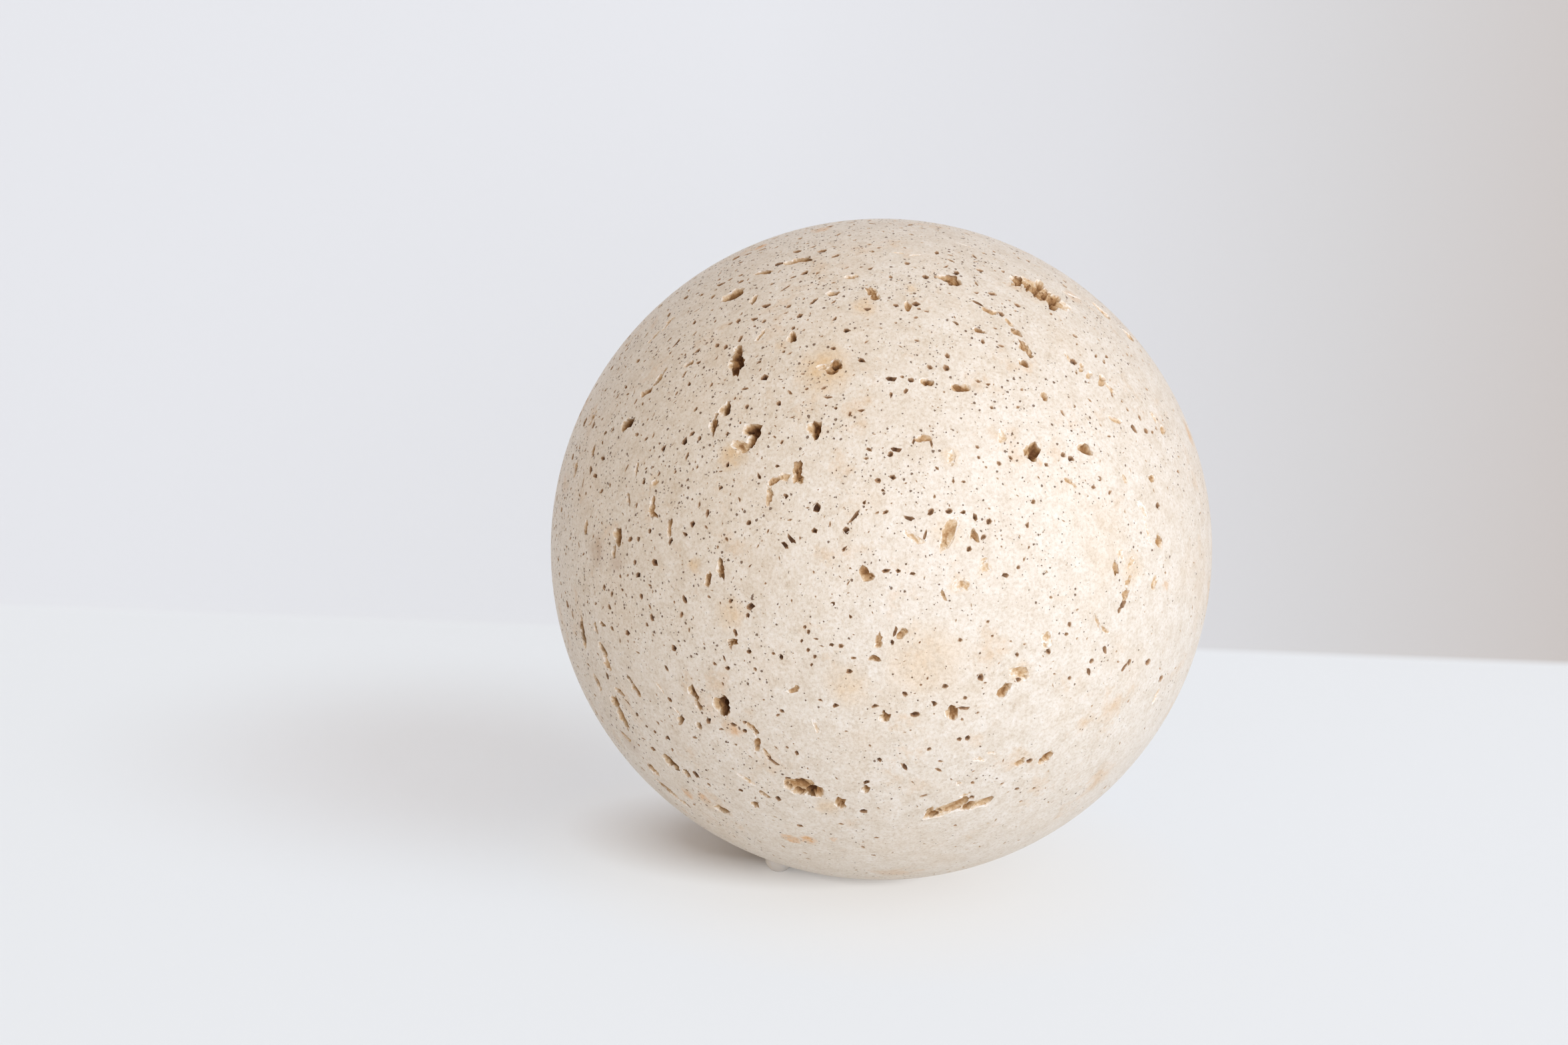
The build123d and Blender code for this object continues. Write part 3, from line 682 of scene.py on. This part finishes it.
# Stains that the photograph shows in one place or another, blotched and ragged
ragged = node(tree, "TexNoise", {"Scale": 1 / patch_blotch, "Detail": 4.0, "Roughness": 0.65},
              Vector=where)
off_middle = node(tree, "VectorMath", {"operation": "SUBTRACT", "1": (0.5, 0.5, 0.5)},
                  a0=ragged.outputs["Color"])
strayed = node(tree, "VectorMath", {"operation": "SCALE", "Scale": patch_stray},
               a0=off_middle.outputs["Vector"])
stray = node(tree, "VectorMath", {"operation": "ADD"}, a0=where, a1=strayed.outputs["Vector"])
colour = stained.outputs[2]
for patches, hex_colour in ((peach_patch_shares, "#E2BF88"), (orange_patch_shares, "#DFA03C"),
                            (brown_patch_shares, "#B08F6B")):
    mask = None
    for across, up, wide, strength in patches:
        spot = ball_centre + seen_direction(across, up) * ball_radius
        gap = node(tree, "VectorMath", {"operation": "DISTANCE", "1": spot}, a0=stray.outputs["Vector"])
        edge = wide * ball_radius
        near = node(tree, "MapRange", {"limits": (edge, edge * patch_core_share, 0.0, strength)},
                    Value=gap.outputs["Value"]).outputs["Result"]
        if mask is None:
            mask = near
        else:
            mask = node(tree, "Math", {"operation": "MAXIMUM"}, a0=mask, a1=near).outputs["Value"]
    blotch = node(tree, "MapRange", {"limits": (0.35, 0.6, 0.25, 1.0)}, Value=small.outputs["Fac"])
    mask = node(tree, "Math", {"operation": "MULTIPLY"}, a0=mask, a1=blotch.outputs["Result"])
    colour = node(tree, "Mix", {"data_type": "RGBA", "7": linear(hex_colour)},
                  a0=mask.outputs["Value"], a6=colour).outputs[2]

# Fine specks of two kinds, thick in some bands and thin in others, with ragged edges
warp = node(tree, "TexNoise", {"Scale": 1 / speck_ragged, "Detail": 2.0}, Vector=where)
warp = node(tree, "VectorMath", {"operation": "SUBTRACT", "1": (0.5, 0.5, 0.5)}, a0=warp.outputs["Color"])
warp = node(tree, "VectorMath", {"operation": "SCALE", "Scale": speck_stray}, a0=warp.outputs["Vector"])
bent = node(tree, "VectorMath", {"operation": "ADD"}, a0=where, a1=warp.outputs["Vector"])
bands = node(tree, "TexNoise", {"Scale": 1 / speck_band, "Detail": 3.0}, Vector=where)
from_middle = node(tree, "VectorMath", {"operation": "SUBTRACT", "1": ball_centre}, a0=where)
leftward = (view_up - view_right) * (speck_lean_share / ball_radius)
to_left = node(tree, "VectorMath", {"operation": "DOT_PRODUCT", "1": leftward},
               a0=from_middle.outputs["Vector"])
bands = node(tree, "Math", {"operation": "ADD"}, a0=bands.outputs["Fac"], a1=to_left.outputs["Value"])
speck_mask = None
for spacing, least, most in speck_kinds:
    cells = node(tree, "TexVoronoi", {"Scale": 1 / spacing, "Randomness": 1.0},
                 Vector=bent.outputs["Vector"])
    chosen = node(tree, "SeparateColor", None, Color=cells.outputs["Color"])
    common = node(tree, "Math", {"operation": "ADD"}, a0=chosen.outputs["Red"], a1=bands.outputs["Value"])
    reach = node(tree, "MapRange", {"limits": (0.92, 1.5, least, most)}, Value=common.outputs["Value"])
    rim = node(tree, "Math", {"operation": "SUBTRACT"}, a0=reach.outputs["Result"],
               a1=cells.outputs["Distance"])
    speck = node(tree, "MapRange", {"limits": (0.0, 0.06, 0.0, 1.0)},
                 Value=rim.outputs["Value"]).outputs["Result"]
    if speck_mask is None:
        speck_mask = speck
    else:
        speck_mask = node(tree, "Math", {"operation": "MAXIMUM"}, a0=speck_mask,
                          a1=speck).outputs["Value"]
speck_share = node(tree, "Math", {"operation": "MULTIPLY", "1": 0.86}, a0=speck_mask)
dust = node(tree, "TexNoise", {"Scale": 1 / dust_size, "Detail": 3.0, "Roughness": 0.7}, Vector=where)
dusty = node(tree, "ValToRGB", {"stops": ((0.3, "#E6DED3"), (0.5, "#F9F6F1"), (0.68, "#FFFFFF"))},
             Fac=dust.outputs["Fac"])
dusted = node(tree, "Mix", {"data_type": "RGBA", "blend_type": "MULTIPLY", "0": 1.0}, a6=colour,
              a7=dusty.outputs["Color"])
specked = node(tree, "Mix", {"data_type": "RGBA", "7": linear("#684729")},
               a0=speck_share.outputs["Value"], a6=dusted.outputs[2])
tree.links.new(specked.outputs[2], shader.inputs["Base Color"])

# The rubbed skin has a sheen, the specks have none
rough = node(tree, "MapRange", {"limits": (0.3, 0.7, 0.34, 0.5)}, Value=small.outputs["Fac"])
rougher = node(tree, "Mix", {"data_type": "FLOAT", "3": 0.9}, a0=speck_mask, a2=rough.outputs["Result"])
tree.links.new(rougher.outputs[0], shader.inputs["Roughness"])

# Grain and specks stand in relief on a skin that is truly round
grain = node(tree, "TexNoise", {"Scale": 1 / grain_size, "Detail": 4.0, "Roughness": 0.6}, Vector=where)
relief = node(tree, "Math", {"operation": "MULTIPLY_ADD", "1": -1.8}, a0=speck_mask,
              a2=grain.outputs["Fac"])
outward = node(tree, "VectorTransform",
               {"vector_type": "NORMAL", "convert_from": "OBJECT", "convert_to": "WORLD"},
               Vector=from_middle.outputs["Vector"])
bump = node(tree, "Bump", {"Strength": 0.8, "Distance": grain_height}, Height=relief.outputs["Value"],
            Normal=outward.outputs["Vector"])
tree.links.new(bump.outputs["Normal"], shader.inputs["Normal"])

# Inside, the broken stone goes from a pale lip to tan and then brown with the depth under the skin, which
# the pits do over 2 mm and the pores over 0.7 mm, each unevenly. The tan and brown are partly the broken
# stone's own colour and partly painted shade: the darkening with depth stands in for the shade deep in each
# hollow
wall_tone_and_shade_stops = ((0.0, "#F6F0E7"), (0.08, "#ECDFCC"), (0.25, "#D6BB96"), (0.55, "#AD865A"), (1.0, "#6A4629"))
pore_tone_and_shade_stops = ((0.0, "#DACAB3"), (0.3, "#A98766"), (1.0, "#664833"))
for finish, deepest, stops in (("wall", 2 * MM, wall_tone_and_shade_stops), ("pore", 0.7 * MM, pore_tone_and_shade_stops)):
    tree = travertine[finish].node_tree
    output = node(tree, "OutputMaterial")
    shader = node(tree, "BsdfPrincipled", {"IOR": 1.5, "Specular IOR Level": 0.2, "Roughness": 0.9})
    tree.links.new(shader.outputs["BSDF"], output.inputs["Surface"])
    where = node(tree, "TexCoord").outputs["Object"]
    from_middle = node(tree, "VectorMath", {"operation": "DISTANCE", "1": ball_centre}, a0=where)
    under = node(tree, "MapRange", {"limits": (ball_radius, ball_radius - deepest, 0.0, 1.0)},
                 Value=from_middle.outputs["Value"])
    crumb = node(tree, "TexNoise", {"Scale": 1 / crumb_size, "Detail": 4.0, "Roughness": 0.65},
                 Vector=where)
    uneven = node(tree, "MapRange", {"limits": (0.3, 0.7, -0.16, 0.16)}, Value=crumb.outputs["Fac"])
    under = node(tree, "Math", {"operation": "ADD"}, a0=under.outputs["Result"],
                 a1=uneven.outputs["Result"])
    inside = node(tree, "ValToRGB", {"stops": stops}, Fac=under.outputs["Value"])
    tree.links.new(inside.outputs["Color"], shader.inputs["Base Color"])
    bump = node(tree, "Bump", {"Strength": 0.9, "Distance": crumb_height}, Height=crumb.outputs["Fac"])
    tree.links.new(bump.outputs["Normal"], shader.inputs["Normal"])
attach(stone, "root")
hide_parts("stone_sphere")

# Clear silicone: moulded soft domes, see-through and a little milky, faintly yellowed
milk_cloud = 2.5 * MM
silicone = bpy.data.materials.new("clear_silicone")
silicone.use_nodes = True
tree = silicone.node_tree
tree.nodes.clear()
output = node(tree, "OutputMaterial")
shader = node(tree, "BsdfPrincipled",
              {"IOR": 1.41, "Transmission Weight": 0.08, "Subsurface Weight": 0.3,
               "Subsurface Radius": (MM, MM, MM), "Subsurface Scale": 1.0})
tree.links.new(shader.outputs["BSDF"], output.inputs["Surface"])
where = node(tree, "TexCoord").outputs["Object"]
cloud = node(tree, "TexNoise", {"Scale": 1 / milk_cloud, "Detail": 3.0}, Vector=where)
milk = node(tree, "ValToRGB", {"stops": ((0.35, "#FBF5EC"), (0.65, "#FFFCF8"))}, Fac=cloud.outputs["Fac"])
tree.links.new(milk.outputs["Color"], shader.inputs["Base Color"])
haze = node(tree, "MapRange", {"limits": (0.3, 0.7, 0.14, 0.26)}, Value=cloud.outputs["Fac"])
tree.links.new(haze.outputs["Result"], shader.inputs["Roughness"])
for name in foot_names:
    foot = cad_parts[name]
    foot.data.materials.clear()
    foot.data.materials.append(silicone)

# Stage: a pale table top that turns up into a pale wall behind, with a soft corner
stage_size = 8.0
wall_behind = 0.180
wall_high = 3.0
wall_turn = math.radians(4.9)
corner_round = 3 * MM
edge_near = 0.1
bpy.ops.object.select_all(action="DESELECT")
bpy.ops.mesh.primitive_plane_add(size=stage_size, location=(0, wall_behind - stage_size / 2, 0))
stage = bpy.context.object
stage.name = "pale_stage"
bpy.ops.object.mode_set(mode="EDIT")
bpy.ops.mesh.select_mode(type="EDGE")
bpy.ops.mesh.select_all(action="DESELECT")
bpy.ops.object.mode_set(mode="OBJECT")
for edge in stage.data.edges:
    ends = [stage.data.vertices[index].co for index in edge.vertices]
    edge.select = min(end.y for end in ends) > stage_size / 2 - edge_near
bpy.ops.object.mode_set(mode="EDIT")
bpy.ops.mesh.extrude_region_move(TRANSFORM_OT_translate={"value": (0, 0, wall_high)})
bpy.ops.object.mode_set(mode="OBJECT")
for edge in stage.data.edges:
    ends = [stage.data.vertices[index].co for index in edge.vertices]
    at_back = min(end.y for end in ends) > stage_size / 2 - edge_near
    edge.select = at_back and max(end.z for end in ends) < edge_near
bpy.ops.object.mode_set(mode="EDIT")
bpy.ops.mesh.bevel(offset=corner_round, segments=10, profile=0.5)
bpy.ops.object.mode_set(mode="OBJECT")
bpy.ops.object.transform_apply(location=True, rotation=True, scale=True)
stage.data.transform(Matrix.Rotation(wall_turn, 4, "Z"))
bpy.ops.object.shade_smooth()

# Matt white paint: rolled on, chalky and even. The wall is painted darker and warmer to the right, as
# painted shade, and the floor is painted a little warm near the ball, as a painted reflection of the warm
# stone
wall_span = 0.25
floor_bounce_reach = (10 * MM, 110 * MM)
wall_from = 1.5 * MM
paint = bpy.data.materials.new("matt_white_paint")
paint.use_nodes = True
tree = paint.node_tree
tree.nodes.clear()
output = node(tree, "OutputMaterial")
where = node(tree, "TexCoord").outputs["Object"]
side = node(tree, "SeparateXYZ", None, Vector=where)
across = node(tree, "MapRange", {"limits": (-wall_span, wall_span, 0.0, 1.0)}, Value=side.outputs["X"])
# Painted shade: the wall's tone darkens and warms towards the right
wall_tone_and_shade = node(tree, "ValToRGB",
                 {"stops": ((0.42, "#E7E9EE"), (0.6, "#DFE0E4"), (0.74, "#D4D3D4"), (0.88, "#CAC4C1"))},
                 Fac=across.outputs["Result"])
from_axis = node(tree, "VectorMath", {"operation": "LENGTH"}, a0=where)
# Painted reflection: the floor's tone warms towards the ball
near_ball = node(tree, "MapRange", {"limits": (*floor_bounce_reach, 0.0, 1.0)}, Value=from_axis.outputs["Value"])
floor_tone_and_bounce = node(tree, "ValToRGB", {"stops": ((0.0, "#F0EBE6"), (0.3, "#EEEDEC"), (0.7, "#EBEEF2"))},
                  Fac=near_ball.outputs["Result"])
rise = node(tree, "MapRange", {"limits": (0.0, wall_from, 0.0, 1.0)}, Value=side.outputs["Z"])
tone = node(tree, "Mix", {"data_type": "RGBA"}, a0=rise.outputs["Result"],
            a6=floor_tone_and_bounce.outputs["Color"], a7=wall_tone_and_shade.outputs["Color"]).outputs[2]
matt = node(tree, "BsdfDiffuse", None, Color=tone)
even = node(tree, "Emission", {"Strength": 1.0}, Color=tone)

# What is seen of the stage, straight or in gloss, is mostly its own even tone: so large a share of it in the
# open, and less in the middle of the soft shadow on the left, which fades between two shares of its reach
even_share = 0.82
even_shade_share = 0.4
shade_middle = (-100 * MM, 50 * MM, 0)
shade_reach = (85 * MM, 80 * MM, 1.0)
shade_fade_shares = (0.2, 1.3)
ray = node(tree, "LightPath")
seen = node(tree, "Math", {"operation": "MAXIMUM"}, a0=ray.outputs["Is Camera Ray"],
            a1=ray.outputs["Is Glossy Ray"])
seen = node(tree, "Math", {"operation": "MAXIMUM"}, a0=seen.outputs["Value"],
            a1=ray.outputs["Is Transmission Ray"])
from_shade = node(tree, "VectorMath", {"operation": "SUBTRACT", "1": shade_middle}, a0=where)
from_shade = node(tree, "VectorMath", {"operation": "DIVIDE", "1": shade_reach},
                  a0=from_shade.outputs["Vector"])
from_shade = node(tree, "VectorMath", {"operation": "LENGTH"}, a0=from_shade.outputs["Vector"])
in_open = node(tree, "MapRange",
               {"interpolation_type": "SMOOTHSTEP",
                "limits": (*shade_fade_shares, even_shade_share, even_share)},
               Value=from_shade.outputs["Value"])

# Under the ball less of it is even, and at the dark contact on the left none, so the ball's own shadow shows
under_ball = (8 * MM, 17 * MM)
under_ball_share = 0.4
contact = (-25 * MM, 12 * MM, 0)
contact_stretch = (1.0, 1.3, 1.0)
contact_fade = (17 * MM, 46 * MM)
off_axis = node(tree, "MapRange", {"limits": (*under_ball, under_ball_share, 1.0)},
                Value=from_axis.outputs["Value"])
in_open = node(tree, "Math", {"operation": "MULTIPLY"}, a0=in_open.outputs["Result"],
               a1=off_axis.outputs["Result"])
from_contact = node(tree, "VectorMath", {"operation": "SUBTRACT", "1": contact}, a0=where)
from_contact = node(tree, "VectorMath", {"operation": "MULTIPLY", "1": contact_stretch},
                    a0=from_contact.outputs["Vector"])
gap = node(tree, "VectorMath", {"operation": "LENGTH"}, a0=from_contact.outputs["Vector"])
off_contact = node(tree, "MapRange", {"limits": (*contact_fade, 0.0, 1.0)}, Value=gap.outputs["Value"])
open_floor = node(tree, "Math", {"operation": "MULTIPLY"}, a0=off_contact.outputs["Result"],
                  a1=in_open.outputs["Value"])
evened = node(tree, "Math", {"operation": "MULTIPLY"}, a0=seen.outputs["Value"],
              a1=open_floor.outputs["Value"])
matt = node(tree, "MixShader", None, a0=evened.outputs["Value"], a1=matt.outputs["BSDF"],
            a2=even.outputs["Emission"])

# From behind or below, the stage lets the view through
clear = node(tree, "BsdfTransparent")
facing = node(tree, "NewGeometry")
from_behind = node(tree, "Math", {"operation": "MULTIPLY"}, a0=facing.outputs["Backfacing"],
                   a1=ray.outputs["Is Camera Ray"])
mixed = node(tree, "MixShader", None, a0=from_behind.outputs["Value"], a1=matt.outputs["Shader"],
             a2=clear.outputs["BSDF"])
tree.links.new(mixed.outputs["Shader"], output.inputs["Surface"])
stage.data.materials.append(paint)

# Light: a large soft window on the right, the pale room to the right and in front, and warm light all round.
# Each lamp has its bearing to the right of the view, its rise, how far off it is, its size and its power
lamp_tint = "#E4EEFF"
lamps = (
    ("window", 47, 38, 1.2, 0.7, 4.0),
    ("right_of_room", 70, 22, 1.3, 0.9, 4.4),
    ("front_of_room", 15, 12, 1.4, 0.9, 9.2),
)
for name, bearing, rise, far, size, watts in lamps:
    bearing = math.radians(bearing)
    rise = math.radians(rise)
    aim = Vector((math.sin(bearing) * math.cos(rise), -math.cos(bearing) * math.cos(rise), math.sin(rise)))
    lamp = bpy.data.lights.new(name, "AREA")
    lamp.shape = "SQUARE"
    lamp.size = size
    lamp.energy = watts
    lamp.color = linear(lamp_tint)[:3]
    lamp_place = bpy.data.objects.new(name, lamp)
    lamp_place.location = ball_centre + aim * far
    lamp_place.rotation_mode = "QUATERNION"
    lamp_place.rotation_quaternion = aim.to_track_quat("Z", "Y")
    lamp_place.visible_camera = False
    bpy.context.scene.collection.objects.link(lamp_place)

# The room is warm where it lights the ball, and pale where the camera sees it
warm_strength = 0.59
world = bpy.data.worlds.new("pale_room")
world.use_nodes = True
tree = world.node_tree
tree.nodes.clear()
output = node(tree, "OutputWorld")
warm = node(tree, "Background", {"Color": linear("#FFE6C8"), "Strength": warm_strength})
pale = node(tree, "Background", {"Color": linear("#EBEEF2"), "Strength": 1.0})
ray = node(tree, "LightPath")
room = node(tree, "MixShader", None, a0=ray.outputs["Is Camera Ray"], a1=warm.outputs["Background"],
            a2=pale.outputs["Background"])
tree.links.new(room.outputs["Shader"], output.inputs["Surface"])
bpy.context.scene.world = world

# Camera at the photograph's place, turned so that the ball lands where it does there
sensor = 36.0
lens_px = ball_radius_px * math.sqrt(view_distance_share ** 2 - 1)
camera = bpy.data.cameras.new("photo_view")
camera.sensor_width = sensor
camera.lens = lens_px / image_width * sensor
camera_place = bpy.data.objects.new("photo_view", camera)
upright = Matrix((view_right, view_up, view_toward)).transposed()
turn_left = math.atan((ball_across_px - image_width / 2) / lens_px)
turn_up = math.atan((ball_down_px - image_height / 2) / lens_px)
turned = upright @ Euler((turn_up, turn_left, 0)).to_matrix()
stand = ball_centre + view_toward * view_distance_share * ball_radius
camera_place.matrix_world = Matrix.Translation(stand) @ turned.to_4x4()
bpy.context.scene.collection.objects.link(camera_place)
bpy.context.scene.camera = camera_place
bpy.context.scene.view_settings.view_transform = "Standard"
